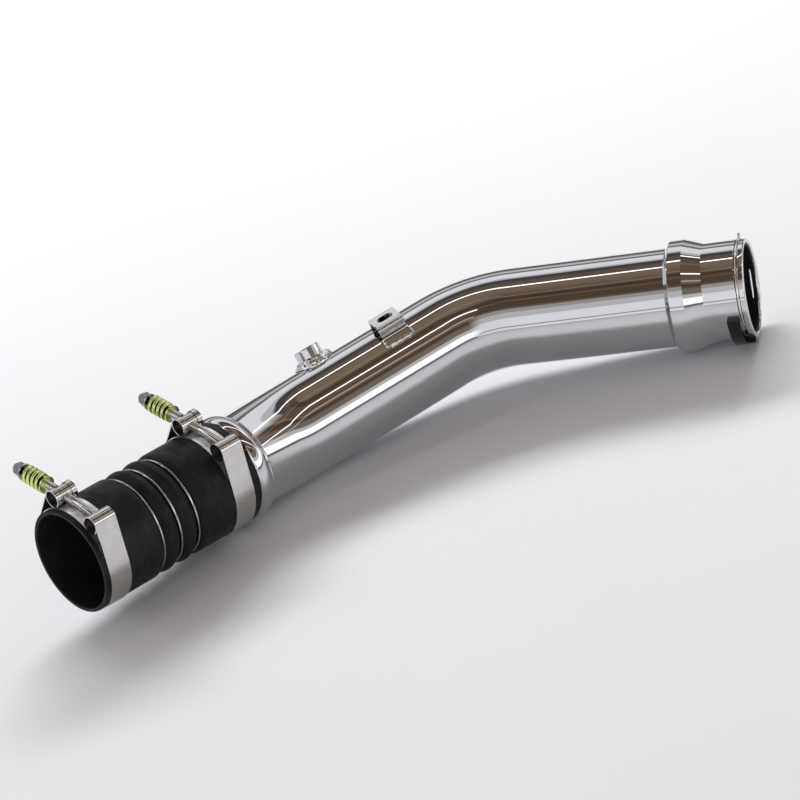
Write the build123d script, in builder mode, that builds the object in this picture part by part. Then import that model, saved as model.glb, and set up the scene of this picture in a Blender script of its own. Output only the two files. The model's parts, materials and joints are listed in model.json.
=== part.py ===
from build123d import *
from math import acos, atan2, cos, degrees, radians, sin, sqrt, tan
import os

os.makedirs("parts", exist_ok=True)

# Pipe: one round tube with two bends whose planes are turned from each other
tube_od = 76.2
tube_wall = 1.65
bend_clr = 100.0
first_bend = 20.5
second_bend = 37.0
bend_twist = 43.6
corner_spacing = 173.3

# Distances along the hose leg, from the first corner of the pipe's path
hose_start = 66.0
tube_in_hose = 44.0
hose_length = 152.4

# Rolled bead that stops the hose
bead_width = 14.0
bead_height = 4.5

# Hose: plain cuffs with convolutions between them
hose_wall = 3.2
hose_fit = 0.1
hose_edge_round = 0.9
valley_depth = 4.2
valley_pitch = 17.0
valley_count = 3
first_valley = 60.0
cuff_shoulder = 5.5
ring_wire = 2.0

# Clamps: band, liner, T-bolt, trunnion, spring and nut
snug = 0.05
clamp_width = 19.0
inner_clamp = 16.5
outer_clamp_inset = 13.4
clamp_lean = -18.0
band_thickness = 0.8
liner_thickness = 0.5
liner_half_angle = 59.0
loop_od = 14.2
loop_half_angle = 26.0
trunnion_length = 13.0
trunnion_slot = 10.4
slot_room = 0.5
bolt_slot = 7.2
bolt_diameter = 6.0
bolt_rise = 5.0
bolt_clr = 170.0
bolt_reach = 53.5
barrel_fit = 0.1
sleeve_od = 8.2
sleeve_id = 6.3
sleeve_start = 6.4
flange_start = 17.2
flange_od = 13.6
flange_thickness = 1.2
guide_end = 34.0
guide_od = 7.4
spring_od = 14.6
spring_wire = 2.9
spring_turns = 4.4
washer_start = 42.2
washer_od = 13.0
washer_thickness = 1.2
nut_flats = 10.0
nut_height = 6.4
nut_collar_od = 9.0
nut_collar_height = 2.2

# Collar on the socket leg, from the second corner of the pipe's path
collar_start = 155.8
tube_in_collar = 6.0
collar_od = 86.6
collar_chamfer = 4.0
collar_flat = 11.0
collar_cone = 14.1
socket_end = 217.4
neck_od = 76.6
socket_bore = 69.0
mouth_chamfer = 0.8
seal_pocket_wall = 3.9
seal_pocket_start = 163.6
seal_pocket_length = 11.0
seal_bore = 67.2
seal_lip_bore = 63.2
seal_lip_length = 3.0
seal_setback = 2.0

# Wire clip in its groove, and the retainer that holds its ends
clip_station = 211.7
clip_wire = 2.2
clip_radius = 37.2
clip_fit = 0.2
clip_ease = 4.0
clip_bow_round = 1.6
clip_leg_round = 6.0
clip_start_lean = 106.0
clip_bump_lean = -30.0
clip_bump_width = 5.0
clip_bump_height = 4.6
clip_leg_start = -84.0
clip_leg_end = -140.0
clip_end_lean = -198.0
retainer_start = 200.5
retainer_length = 9.6
retainer_from = 97.0
retainer_to = 155.0
retainer_height = 4.2
retainer_lip_from = 138.0
retainer_lip_length = 16.6

# Sensor bung on the middle run, from the first corner of the pipe's path
bung_station = 45.5
bung_lean = -26.0
bung_od = 21.4
bung_bore = 14.6
bung_hole = 14.0
bung_height = 12.3
bung_weld_od = 33.0
bung_weld_height = 4.4
bung_weld_toe = 0.4
bung_weld_flare = 0.8
bung_weld_crown = 0.72

# Bracket on the middle run
bracket_station = 105.6
bracket_lean = 8.5
bracket_width = 22.0
bracket_sheet = 2.0
bracket_height = 9.0
bracket_plate = 19.3
bracket_plate_offset = -0.65
bracket_foot = 25.0
bracket_round = 2.0
slot_width = 6.4
slot_length = 13.4
slot_offset = -2.0
bracket_weld = 3.6
bracket_weld_lead = 1.0

# Radii worked out from the sizes above
tube_r = tube_od / 2
hose_in = tube_r + hose_fit
hose_out = hose_in + hose_wall
band_in = hose_out + snug
band_out = band_in + band_thickness
collar_r = collar_od / 2
neck_r = neck_od / 2
bore_r = socket_bore / 2
stop_land_r = tube_r - tube_wall
seal_pocket_r = collar_r - seal_pocket_wall
outer_clamp = hose_length - outer_clamp_inset

# Directions while the pipe is bent: X runs along the middle, Y towards the hose leg's side
bend_1 = radians(first_bend)
bend_2 = radians(second_bend)
twist = radians(bend_twist)
middle_dir = Vector(1, 0, 0)
hose_dir = Vector(-cos(bend_1), sin(bend_1), 0)
socket_dir = Vector(cos(bend_2), sin(bend_2) * cos(twist), sin(bend_2) * sin(twist))
corner_1 = Vector(0, 0, 0)
corner_2 = corner_1 + middle_dir * corner_spacing


def furthest_on_ring(centre, axis, radius, way, edge_round=0.0):
    return centre + (way - axis * axis.dot(way)).normalized() * radius + way * edge_round


def furthest_on_bend(corner, heading, leaving, way):
    bend = radians(heading.get_angle(leaving))
    inward = (leaving - heading * cos(bend)).normalized()
    turn = min(max(atan2(heading.dot(way), -inward.dot(way)), 0), bend)
    start = corner - heading * bend_clr * tan(bend / 2)
    centre = start + heading * bend_clr * sin(turn) + inward * bend_clr * (1 - cos(turn))
    tangent = heading * cos(turn) + inward * sin(turn)
    return furthest_on_ring(centre, tangent, tube_r, way)


bead_centre = hose_start - snug - bead_width / 2


def furthest_on_bead(way):
    along = hose_dir.dot(way)
    outward = sqrt(1 - along**2)
    swell = sqrt((bead_width / 2 * along) ** 2 + (bead_height * outward) ** 2)
    centre = corner_1 + hose_dir * (bead_centre + (bead_width / 2) ** 2 * along / swell)
    return furthest_on_ring(centre, hose_dir, tube_r + bead_height**2 * outward / swell, way)


# The pipe lies on its bead, its first bend and the collar's rim
rim_start = collar_start + collar_chamfer
cone_start = rim_start + collar_flat
up_dir = Vector(0.1, 0.46, -0.88).normalized()
for settle in range(30):
    down = up_dir * -1
    touch_1 = furthest_on_bead(down)
    touch_2 = furthest_on_bend(corner_1, hose_dir * -1, middle_dir, down)
    rim_1 = furthest_on_ring(corner_2 + socket_dir * rim_start, socket_dir, collar_r, down)
    rim_2 = furthest_on_ring(corner_2 + socket_dir * cone_start, socket_dir, collar_r, down)
    touch_3 = rim_1 if rim_1.dot(down) > rim_2.dot(down) else rim_2
    normal = (touch_2 - touch_1).cross(touch_3 - touch_1).normalized()
    up_dir = normal if normal.dot(up_dir) > 0 else normal * -1

hose_end = corner_1 + hose_dir * (hose_start + hose_length)
socket_mouth = corner_2 + socket_dir * socket_end
span = socket_mouth - hose_end
x_dir = (span - up_dir * span.dot(up_dir)).normalized()
y_dir = up_dir.cross(x_dir)


def turned(vector):
    return Vector(vector.dot(x_dir), vector.dot(y_dir), vector.dot(up_dir))


middle_dir = turned(middle_dir)
hose_dir = turned(hose_dir)
socket_dir = turned(socket_dir)


def lean_dir(direction, lean):
    upright = (Vector(0, 0, 1) - direction * direction.Z).normalized()
    side = direction.cross(upright)
    return upright * cos(radians(lean)) + side * sin(radians(lean))


# Screw line of a clamp in its own plane: X points out through the gap, Y towards the nut
loop_r = loop_od / 2
loop_centre_r = band_in + liner_thickness + snug + loop_r
loop_x = loop_centre_r * cos(radians(loop_half_angle))
loop_y = loop_centre_r * sin(radians(loop_half_angle))
rise = radians(bolt_rise)
bolt_tip_x = loop_x - bolt_reach * sin(rise)
bolt_tip_y = loop_y + bolt_reach * cos(rise)

# The origin is under the middle of the footprint, which these rims and the second bend bound
corner_1 = turned(corner_1)
corner_2 = turned(corner_2)
outer_clamp_side = corner_1 + hose_dir * (hose_start + outer_clamp + clamp_width / 2)
rounded_end = corner_1 + hose_dir * (hose_start + hose_length - hose_edge_round)
socket_lip = corner_2 + socket_dir * (socket_end - mouth_chamfer)
outer_rims = [
    (rounded_end, hose_dir, hose_out - hose_edge_round, hose_edge_round),
    (outer_clamp_side, hose_dir, band_out, 0),
    (socket_lip, socket_dir, neck_r, 0),
    (corner_2 + socket_dir * socket_end, socket_dir, neck_r - mouth_chamfer, 0),
    (corner_2 + socket_dir * rim_start, socket_dir, collar_r, 0),
    (corner_2 + socket_dir * cone_start, socket_dir, collar_r, 0),
]


def reach(way):
    spots = [furthest_on_ring(c, axis, radius, way, edge) for c, axis, radius, edge in outer_rims]
    spots.append(furthest_on_bend(corner_2, middle_dir, socket_dir, way))
    return max(spot.dot(way) for spot in spots)


middle_x = (reach(Vector(1, 0, 0)) - reach(Vector(-1, 0, 0))) / 2
middle_y = (reach(Vector(0, 1, 0)) - reach(Vector(0, -1, 0))) / 2
origin = Vector(middle_x, middle_y, turned(touch_1).Z)
corner_1 = corner_1 - origin
corner_2 = corner_2 - origin


def across(corner, direction, distance, lean):
    return Plane(corner + direction * distance, x_dir=lean_dir(direction, lean), z_dir=direction)


def lengthwise(corner, direction):
    upright = lean_dir(direction, 0)
    return Plane(corner, x_dir=direction, z_dir=direction.cross(upright))


hose_axis = Axis(corner_1, hose_dir)
socket_axis = Axis(corner_2, socket_dir)
hose_profile = lengthwise(corner_1, hose_dir)
socket_profile = lengthwise(corner_2, socket_dir)
bung_plane = across(corner_1, middle_dir, bung_station, bung_lean)
bung_dir = bung_plane.x_dir
bracket_plane = across(corner_1, middle_dir, bracket_station, bracket_lean)

# Pipe tube: swept outside and inside, with its rolled bead and the bung's hole
with BuildPart() as pipe_tube:
    with BuildLine() as run:
        FilletPolyline(
            corner_1 + hose_dir * (hose_start + tube_in_hose),
            corner_1,
            corner_2,
            corner_2 + socket_dir * (collar_start + tube_in_collar),
            radius=bend_clr,
        )
    tube_start = Plane(run.wire() @ 0, z_dir=run.wire() % 0)
    with BuildSketch(tube_start):
        Circle(tube_r)
    sweep(path=run.wire())
    with BuildSketch(hose_profile):
        with Locations((bead_centre, tube_r)):
            Ellipse(bead_width / 2, bead_height)
        with Locations((bead_centre, tube_r - bead_height)):
            Rectangle(bead_width, 2 * bead_height, mode=Mode.SUBTRACT)
    revolve(axis=hose_axis)
    with BuildSketch(tube_start):
        Circle(tube_r - tube_wall)
    sweep(path=run.wire(), mode=Mode.SUBTRACT)
    with BuildSketch(hose_profile):
        with Locations((bead_centre, tube_r - tube_wall)):
            Ellipse(bead_width / 2 - tube_wall, bead_height)
        with Locations((bead_centre, tube_r - tube_wall - bead_height)):
            Rectangle(bead_width, 2 * bead_height, mode=Mode.SUBTRACT)
    revolve(axis=hose_axis, mode=Mode.SUBTRACT)
    with BuildSketch(Plane(bung_plane.origin, z_dir=bung_dir)):
        Circle(bung_hole / 2)
    extrude(amount=tube_od, mode=Mode.SUBTRACT)
pipe_tube.part.label = "pipe_tube"
export_step(pipe_tube.part, "parts/pipe_tube.step")

# Hose: inner and outer outlines follow the same wave, one wall apart
half_pitch = valley_pitch / 2
wave_turn = 2 * atan2(valley_depth, half_pitch)
wave_r = half_pitch / (2 * sin(wave_turn))
shoulder_turn = 2 * atan2(valley_depth, cuff_shoulder)
shoulder_r = cuff_shoulder / (2 * sin(shoulder_turn))
wall_middle = (hose_in + hose_out) / 2


def hose_outline(offset):
    turns = [(-shoulder_turn, shoulder_r + offset), (shoulder_turn, shoulder_r - offset)]
    for hump in range(valley_count - 1):
        turns.append((wave_turn, wave_r - offset))
        turns.append((-2 * wave_turn, wave_r + offset))
        turns.append((wave_turn, wave_r - offset))
    turns.append((shoulder_turn, shoulder_r - offset))
    turns.append((-shoulder_turn, shoulder_r + offset))
    height = wall_middle + offset
    edge = Line((hose_start, height), (hose_start + first_valley - cuff_shoulder, height))
    for angle, radius in turns:
        edge = JernArc(edge @ 1, edge % 1, radius, degrees(angle))
    last_edge = Line(edge @ 1, (hose_start + hose_length, height))
    Polyline(last_edge @ 1, (hose_start + hose_length, 0), (hose_start, 0), (hose_start, height))


with BuildPart() as hose:
    with BuildSketch(hose_profile):
        with BuildLine():
            hose_outline(hose_wall / 2)
        make_face()
    revolve(axis=hose_axis)
    with BuildSketch(hose_profile):
        with BuildLine():
            hose_outline(-hose_wall / 2)
        make_face()
    revolve(axis=hose_axis, mode=Mode.SUBTRACT)
    end_rims = hose.edges().filter_by(GeomType.CIRCLE).sort_by(hose_axis)
    fillet(end_rims[-2:] + end_rims[:2], hose_edge_round)
hose.part.label = "hose"
export_step(hose.part, "parts/hose.step")

# Wire rings in the hose's valleys
ring_r = ring_wire / 2
for number in range(valley_count):
    with BuildPart() as wire_ring:
        with BuildSketch(hose_profile):
            ring_station = hose_start + first_valley + valley_pitch * number
            with Locations((ring_station, hose_out - valley_depth + ring_r + snug)):
                Circle(ring_r)
        revolve(axis=hose_axis)
    wire_ring.part.label = f"wire_ring_{number + 1}"
    export_step(wire_ring.part, f"parts/wire_ring_{number + 1}.step")

# Clamps, one on each cuff of the hose
strap_turn = degrees(acos((band_out - loop_r) / loop_centre_r))
strap_angle = radians(loop_half_angle + strap_turn)
strap_x = cos(strap_angle)
strap_y = sin(strap_angle)
wedge = 2 * band_out / strap_x
barrel_r = loop_r - band_thickness - barrel_fit
slot_drop = sleeve_od / 2 + loop_r * tan(rise) + slot_room
bolt_r = bolt_diameter / 2
for number, station in enumerate((inner_clamp, outer_clamp), start=1):
    clamp = f"clamp_{number}"
    clamp_plane = across(corner_1, hose_dir, hose_start + station, clamp_lean)
    trunnion_centre = clamp_plane.from_local_coords((loop_x, loop_y, 0))
    head_centre = clamp_plane.from_local_coords((loop_x, -loop_y, 0))
    bolt_tip = clamp_plane.from_local_coords((bolt_tip_x, bolt_tip_y, 0))
    bolt_peak = clamp_plane.from_local_coords((loop_x + loop_y * tan(rise), 0, 0))
    bolt_dir = (bolt_tip - trunnion_centre).normalized()
    screw_plane = Plane(trunnion_centre, x_dir=hose_dir, z_dir=bolt_dir)

    with BuildPart() as band:
        with BuildSketch(clamp_plane):
            Circle(band_out)
            Circle(band_in, mode=Mode.SUBTRACT)
            with BuildLine():
                Polyline(
                    (0, 0),
                    (wedge * strap_x, wedge * strap_y),
                    (wedge * strap_x, -wedge * strap_y),
                    close=True,
                )
            make_face(mode=Mode.SUBTRACT)
            for side in (1, -1):
                with BuildLine():
                    Polyline(
                        (band_in * strap_x, side * band_in * strap_y),
                        (band_out * strap_x, side * band_out * strap_y),
                        (loop_x + loop_r * strap_x, side * (loop_y + loop_r * strap_y)),
                        (
                            loop_x + (loop_r - band_thickness) * strap_x,
                            side * (loop_y + (loop_r - band_thickness) * strap_y),
                        ),
                        close=True,
                    )
                make_face()
            with Locations((loop_x, loop_y), (loop_x, -loop_y)):
                Circle(loop_r)
            with Locations((loop_x, loop_y), (loop_x, -loop_y)):
                Circle(loop_r - band_thickness, mode=Mode.SUBTRACT)
        extrude(amount=clamp_width / 2, both=True)
        with BuildSketch(clamp_plane):
            with Locations((loop_x + loop_od - slot_drop, loop_y)):
                Rectangle(2 * loop_od, 2 * loop_od)
        extrude(amount=trunnion_slot / 2, both=True, mode=Mode.SUBTRACT)
        with BuildSketch(clamp_plane):
            with Locations((loop_x, -loop_y + loop_r)):
                Rectangle(bolt_slot + 2 * loop_r * tan(rise), loop_od)
        extrude(amount=bolt_slot / 2, both=True, mode=Mode.SUBTRACT)
    band.part.label = f"{clamp}_band"
    export_step(band.part, f"parts/{clamp}_band.step")

    with BuildPart() as liner:
        with BuildSketch(clamp_plane):
            Circle(band_in + liner_thickness)
            Circle(band_in, mode=Mode.SUBTRACT)
            liner_x = wedge * cos(radians(liner_half_angle))
            liner_y = wedge * sin(radians(liner_half_angle))
            with BuildLine():
                Polyline((0, 0), (liner_x, liner_y), (liner_x, -liner_y), close=True)
            make_face(mode=Mode.INTERSECT)
        extrude(amount=clamp_width / 2, both=True)
    liner.part.label = f"{clamp}_liner"
    export_step(liner.part, f"parts/{clamp}_liner.step")

    with BuildPart() as t_bolt:
        with BuildLine() as shank:
            FilletPolyline(head_centre, bolt_peak, bolt_tip, radius=bolt_clr)
        with BuildSketch(Plane(shank.wire() @ 0, z_dir=shank.wire() % 0)):
            Circle(bolt_r)
        sweep(path=shank.wire())
        with BuildSketch(clamp_plane):
            with Locations((loop_x, -loop_y)):
                Circle(barrel_r)
        extrude(amount=trunnion_length / 2, both=True)
    t_bolt.part.label = f"{clamp}_t_bolt"
    export_step(t_bolt.part, f"parts/{clamp}_t_bolt.step")

    with BuildPart() as trunnion:
        with BuildSketch(clamp_plane):
            with Locations((loop_x, loop_y)):
                Circle(barrel_r)
        extrude(amount=trunnion_length / 2, both=True)
        with BuildSketch(screw_plane):
            Circle(bolt_r + barrel_fit)
        extrude(amount=loop_od, both=True, mode=Mode.SUBTRACT)
    trunnion.part.label = f"{clamp}_trunnion"
    export_step(trunnion.part, f"parts/{clamp}_trunnion.step")

    with BuildPart() as sleeve:
        with BuildSketch(screw_plane.offset(sleeve_start)):
            Circle(sleeve_od / 2)
        extrude(amount=flange_start - sleeve_start)
        with BuildSketch(screw_plane.offset(flange_start)):
            Circle(flange_od / 2)
        extrude(amount=flange_thickness)
        with BuildSketch(screw_plane.offset(flange_start)):
            Circle(guide_od / 2)
        extrude(amount=guide_end - flange_start)
        with BuildSketch(screw_plane.offset(sleeve_start)):
            Circle(sleeve_id / 2)
        extrude(amount=guide_end - sleeve_start, mode=Mode.SUBTRACT)
    sleeve.part.label = f"{clamp}_sleeve"
    export_step(sleeve.part, f"parts/{clamp}_sleeve.step")

    spring_start = flange_start + flange_thickness + snug + spring_wire / 2
    spring_height = washer_start - snug - spring_wire / 2 - spring_start
    with BuildPart() as spring:
        with BuildLine(screw_plane.offset(spring_start)) as coil:
            Helix(
                spring_height / spring_turns,
                spring_height,
                (spring_od - spring_wire) / 2,
                direction=bolt_dir,
            )
        with BuildSketch(Plane(coil.wire() @ 0, z_dir=coil.wire() % 0)):
            Circle(spring_wire / 2)
        sweep(path=coil.wire(), is_frenet=True)
    spring.part.label = f"{clamp}_spring"
    export_step(spring.part, f"parts/{clamp}_spring.step")

    with BuildPart() as washer:
        with BuildSketch(screw_plane.offset(washer_start)):
            Circle(washer_od / 2)
            Circle(bolt_r + barrel_fit, mode=Mode.SUBTRACT)
        extrude(amount=washer_thickness)
    washer.part.label = f"{clamp}_washer"
    export_step(washer.part, f"parts/{clamp}_washer.step")

    nut_start = washer_start + washer_thickness
    with BuildPart() as lock_nut:
        with BuildSketch(screw_plane.offset(nut_start)):
            RegularPolygon(nut_flats / 2, 6, major_radius=False)
        extrude(amount=nut_height)
        with BuildSketch(screw_plane.offset(nut_start + nut_height)):
            Circle(nut_collar_od / 2)
        extrude(amount=nut_collar_height)
        collar_top = lock_nut.faces().sort_by(Axis(trunnion_centre, bolt_dir))[-1]
        fillet(collar_top.edges(), nut_collar_height / 2)
        with BuildSketch(screw_plane.offset(nut_start)):
            Circle(bolt_r + snug)
        extrude(amount=nut_height + nut_collar_height, mode=Mode.SUBTRACT)
    lock_nut.part.label = f"{clamp}_lock_nut"
    export_step(lock_nut.part, f"parts/{clamp}_lock_nut.step")

# Socket collar: turned ring with a raised rim, a cone and the socket's neck
collar_in = tube_r + snug
cone_end = cone_start + collar_cone
groove_half = clip_wire / 2 + clip_fit
groove_bottom = clip_radius - clip_wire / 2 - clip_fit
tube_stop = collar_start + tube_in_collar + snug
leg_half = radians((clip_leg_start - clip_leg_end) / 2)
leg_middle = (clip_leg_start + clip_leg_end) / 2
clip_plane = across(corner_2, socket_dir, clip_station, 0)
leg_out = lean_dir(socket_dir, leg_middle)
leg_r = clip_radius / cos(radians(clip_ease))
leg_centre = clip_plane.origin + leg_out * leg_r * cos(leg_half)
leg_plane = Plane(leg_centre, z_dir=socket_dir.cross(leg_out))
with BuildPart() as socket_collar:
    with BuildSketch(socket_profile):
        with BuildLine():
            Polyline(
                (collar_start, collar_in),
                (rim_start, collar_r),
                (cone_start, collar_r),
                (cone_end, neck_r),
                (clip_station - groove_half, neck_r),
                (clip_station - groove_half, groove_bottom),
                (clip_station + groove_half, groove_bottom),
                (clip_station + groove_half, neck_r),
                (socket_end - mouth_chamfer, neck_r),
                (socket_end, neck_r - mouth_chamfer),
                (socket_end, bore_r + mouth_chamfer),
                (socket_end - mouth_chamfer, bore_r),
                (seal_pocket_start + seal_pocket_length, bore_r),
                (seal_pocket_start + seal_pocket_length, seal_pocket_r),
                (seal_pocket_start, seal_pocket_r),
                (seal_pocket_start, stop_land_r),
                (tube_stop, stop_land_r),
                (tube_stop, collar_in),
                close=True,
            )
        make_face()
    revolve(axis=socket_axis)
    with BuildSketch(leg_plane):
        Circle(clip_wire / 2 + clip_fit)
    extrude(amount=leg_r * sin(leg_half), both=True, mode=Mode.SUBTRACT)
socket_collar.part.label = "socket_collar"
export_step(socket_collar.part, "parts/socket_collar.step")

# Bore seal: lip ring held in the collar's pocket, with a sleeve out to the mouth
pocket_end = seal_pocket_start + seal_pocket_length
with BuildPart() as bore_seal:
    with BuildSketch(socket_profile):
        with BuildLine():
            Polyline(
                (seal_pocket_start + snug, seal_pocket_r - snug),
                (pocket_end - snug, seal_pocket_r - snug),
                (pocket_end - snug, bore_r - snug),
                (socket_end - seal_setback, bore_r - snug),
                (socket_end - seal_setback, seal_bore / 2),
                (pocket_end, seal_bore / 2),
                (pocket_end - seal_lip_length, seal_lip_bore / 2),
                (seal_pocket_start + seal_lip_length, seal_lip_bore / 2),
                (seal_pocket_start + snug, seal_bore / 2),
                close=True,
            )
        make_face()
    revolve(axis=socket_axis)
    with BuildSketch(leg_plane):
        Circle(clip_wire / 2 + clip_fit)
    extrude(amount=leg_r * sin(leg_half), both=True, mode=Mode.SUBTRACT)
bore_seal.part.label = "bore_seal"
export_step(bore_seal.part, "parts/bore_seal.step")


def clip_point(lean, radius):
    return (radius * cos(radians(lean)), radius * sin(radians(lean)))


# Wire clip: round the groove, up in a small bow, through the bore as a straight leg
bow_lean = degrees(clip_bump_width / 2 / clip_radius)
bow_top = clip_radius + clip_bump_height
bow_top_lean = degrees(clip_bump_width / 2 / bow_top)
bow_near = clip_bump_lean + bow_lean
bow_far = clip_bump_lean - bow_lean
with BuildPart() as wire_clip:
    with BuildLine(clip_plane) as wire:
        CenterArc((0, 0), clip_radius, clip_start_lean, bow_near + clip_ease - clip_start_lean)
        FilletPolyline(
            clip_point(bow_near + clip_ease, clip_radius),
            clip_point(bow_near, leg_r),
            clip_point(clip_bump_lean + bow_top_lean, bow_top),
            clip_point(clip_bump_lean - bow_top_lean, bow_top),
            clip_point(bow_far, leg_r),
            clip_point(bow_far - clip_ease, clip_radius),
            radius=clip_bow_round,
        )
        leg_from = clip_leg_start + clip_ease
        CenterArc((0, 0), clip_radius, bow_far - clip_ease, leg_from - bow_far + clip_ease)
        FilletPolyline(
            clip_point(leg_from, clip_radius),
            clip_point(clip_leg_start, leg_r),
            clip_point(clip_leg_end, leg_r),
            clip_point(clip_leg_end - clip_ease, clip_radius),
            radius=clip_leg_round,
        )
        leg_to = clip_leg_end - clip_ease
        CenterArc((0, 0), clip_radius, leg_to, clip_end_lean - leg_to)
    with BuildSketch(Plane(wire.wire() @ 0, z_dir=wire.wire() % 0)):
        Circle(clip_wire / 2)
    sweep(path=wire.wire())
wire_clip.part.label = "wire_clip"
export_step(wire_clip.part, "parts/wire_clip.step")

# Clip retainer: moulded saddle under the neck, with a lip that reaches the mouth
retainer_in = neck_r + snug
retainer_out = neck_r + retainer_height


def saddle_outline(from_lean, to_lean):
    Line(clip_point(from_lean, retainer_in), clip_point(from_lean, retainer_out))
    CenterArc((0, 0), retainer_out, from_lean, to_lean - from_lean)
    Line(clip_point(to_lean, retainer_out), clip_point(to_lean, retainer_in))
    CenterArc((0, 0), retainer_in, from_lean, to_lean - from_lean)


with BuildPart() as clip_retainer:
    with BuildSketch(across(corner_2, socket_dir, retainer_start, 0)):
        with BuildLine():
            saddle_outline(retainer_from, retainer_to)
        make_face()
    extrude(amount=retainer_length)
    with BuildSketch(across(corner_2, socket_dir, retainer_start, 0)):
        with BuildLine():
            saddle_outline(retainer_lip_from, retainer_to)
        make_face()
    extrude(amount=retainer_lip_length)
clip_retainer.part.label = "clip_retainer"
export_step(clip_retainer.part, "parts/clip_retainer.step")

# Sensor bung: turned boss saddled on the tube
bung_base = Plane(bung_plane.origin, x_dir=middle_dir, z_dir=bung_dir)
with BuildPart() as sensor_bung:
    with BuildSketch(bung_base):
        Circle(bung_od / 2)
    extrude(amount=tube_r + bung_height)
    bung_top = sensor_bung.faces().sort_by(Axis(bung_plane.origin, bung_dir))[-1]
    chamfer(bung_top.edges(), 0.5)
    with BuildSketch(bung_base):
        Circle(bung_bore / 2)
    extrude(amount=tube_r + bung_height, mode=Mode.SUBTRACT)
    with BuildSketch(bung_plane):
        Circle(tube_r)
    extrude(amount=tube_od, both=True, mode=Mode.SUBTRACT)
sensor_bung.part.label = "sensor_bung"
export_step(sensor_bung.part, "parts/sensor_bung.step")

# Weld fillet round the bung
weld_r = bung_weld_od / 2
with BuildPart() as bung_weld:
    with BuildSketch(Plane(bung_plane.origin, x_dir=middle_dir, z_dir=middle_dir.cross(bung_dir))):
        with BuildLine():
            weld_top = tube_r + bung_weld_height
            weld_bulge = (
                (weld_r + bung_od / 2) / 2 + bung_weld_toe,
                tube_r + bung_weld_height * bung_weld_crown,
            )
            weld_side = Line(
                (weld_r + bung_weld_flare, tube_r - weld_r / 2),
                (weld_r, tube_r + bung_weld_toe),
            )
            ThreePointArc(weld_side @ 1, weld_bulge, (bung_od / 2, weld_top))
            Polyline(
                (bung_od / 2, weld_top),
                (bung_od / 2, tube_r - weld_r / 2),
                weld_side @ 0,
            )
        make_face()
    revolve(axis=Axis(bung_plane.origin, bung_dir))
    with BuildSketch(bung_plane):
        Circle(tube_r)
    extrude(amount=tube_od, both=True, mode=Mode.SUBTRACT)
bung_weld.part.label = "bung_weld"
export_step(bung_weld.part, "parts/bung_weld.step")

# Bracket: folded strip with a slotted plate, two legs and a curved foot
seat_r = tube_r + snug
plate_top = tube_r + bracket_height
near_leg = bracket_plate_offset + bracket_plate / 2 - bracket_sheet / 2
far_leg = bracket_plate_offset - bracket_plate / 2 + bracket_sheet / 2
foot_from = degrees(atan2(near_leg, seat_r))
with BuildPart() as bracket:
    with BuildSketch(bracket_plane):
        with Locations((plate_top - bracket_sheet / 2, bracket_plate_offset)):
            Rectangle(bracket_sheet, bracket_plate)
        with Locations((plate_top - bracket_height, near_leg), (plate_top - bracket_height, far_leg)):
            Rectangle(2 * bracket_height, bracket_sheet)
        with BuildLine():
            Line(clip_point(foot_from, seat_r), clip_point(foot_from, seat_r + bracket_sheet))
            CenterArc((0, 0), seat_r + bracket_sheet, foot_from, bracket_foot - foot_from)
            Line(clip_point(bracket_foot, seat_r + bracket_sheet), clip_point(bracket_foot, seat_r))
            CenterArc((0, 0), seat_r, foot_from, bracket_foot - foot_from)
        make_face()
        Circle(seat_r, mode=Mode.SUBTRACT)
    extrude(amount=bracket_width / 2, both=True)
    plate_edges = bracket.edges().filter_by(Axis(bracket_plane.origin, middle_dir))
    top_edges = plate_edges.sort_by(Axis(bracket_plane.origin, bracket_plane.x_dir))[-2:]
    fillet(top_edges, bracket_round)
    plate_plane = Plane(bracket_plane.origin, x_dir=middle_dir * -1, z_dir=bracket_plane.x_dir)
    with BuildSketch(plate_plane.offset(plate_top)):
        with Locations((0, slot_offset)):
            SlotOverall(slot_length, slot_width)
    extrude(amount=-2 * bracket_sheet, mode=Mode.SUBTRACT)
bracket.part.label = "bracket"
export_step(bracket.part, "parts/bracket.step")

# Weld beads along the bracket's foot and its hidden leg
weld_places = [
    clip_point(bracket_foot + bracket_weld_lead, seat_r + bracket_weld / 5),
    (sqrt(seat_r**2 - far_leg**2) + bracket_weld / 5, far_leg - bracket_sheet / 2),
]
with BuildPart() as bracket_welds:
    with BuildSketch(bracket_plane):
        with Locations(*weld_places):
            Circle(bracket_weld / 2)
        Circle(tube_r, mode=Mode.SUBTRACT)
    extrude(amount=bracket_width / 2 - bracket_weld / 2, both=True)
    add(bracket.part, mode=Mode.SUBTRACT)
bracket_welds.part.label = "bracket_welds"
export_step(bracket_welds.part, "parts/bracket_welds.step")
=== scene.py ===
import bpy
import json
from math import atan2, cos, degrees, isclose, pi, radians, sin, tan
from mathutils import Matrix, Vector


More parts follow.
